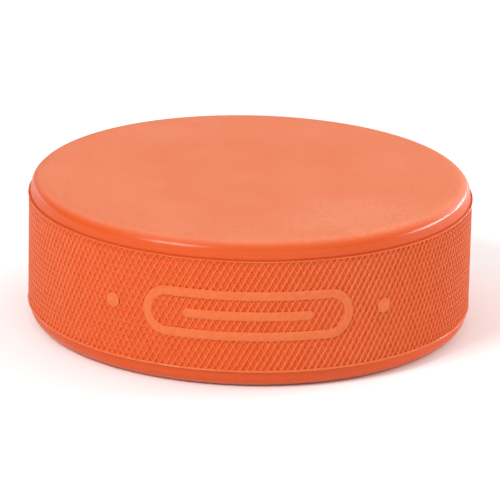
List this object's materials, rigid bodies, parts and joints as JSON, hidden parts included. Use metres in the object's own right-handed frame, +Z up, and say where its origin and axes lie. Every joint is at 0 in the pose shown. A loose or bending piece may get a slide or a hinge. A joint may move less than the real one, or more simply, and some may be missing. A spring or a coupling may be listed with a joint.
{
  "type": "hockey puck",
  "caption": "Round orange rubber training puck with smooth rounded shoulders, a diamond-knurled rim and a steel ballast disc moulded inside.",
  "frame": {"origin": "centre of the flat face that the puck rests on", "axes": "+Z up along the puck's axis of revolution, through its thickness; X and Y across its diameter, with the raised rim marks centred on -Y"},
  "size_m": [0.0762, 0.0762, 0.0254],
  "materials": {
    "smooth_rubber": "matte moulded rubber on the flat faces, slightly glossier on the shoulders",
    "knurled_rubber": "moulded diamond knurl of fine raised ribs, with smooth raised marks",
    "steel": "punched plate, bonded inside the rubber"
  },
  "bodies": {
    "root": {"lower_rubber_half": "smooth_rubber", "weight_disc": "steel", "knurled_band": "knurled_rubber", "upper_rubber_half": "smooth_rubber"}
  },
  "joints": []
}
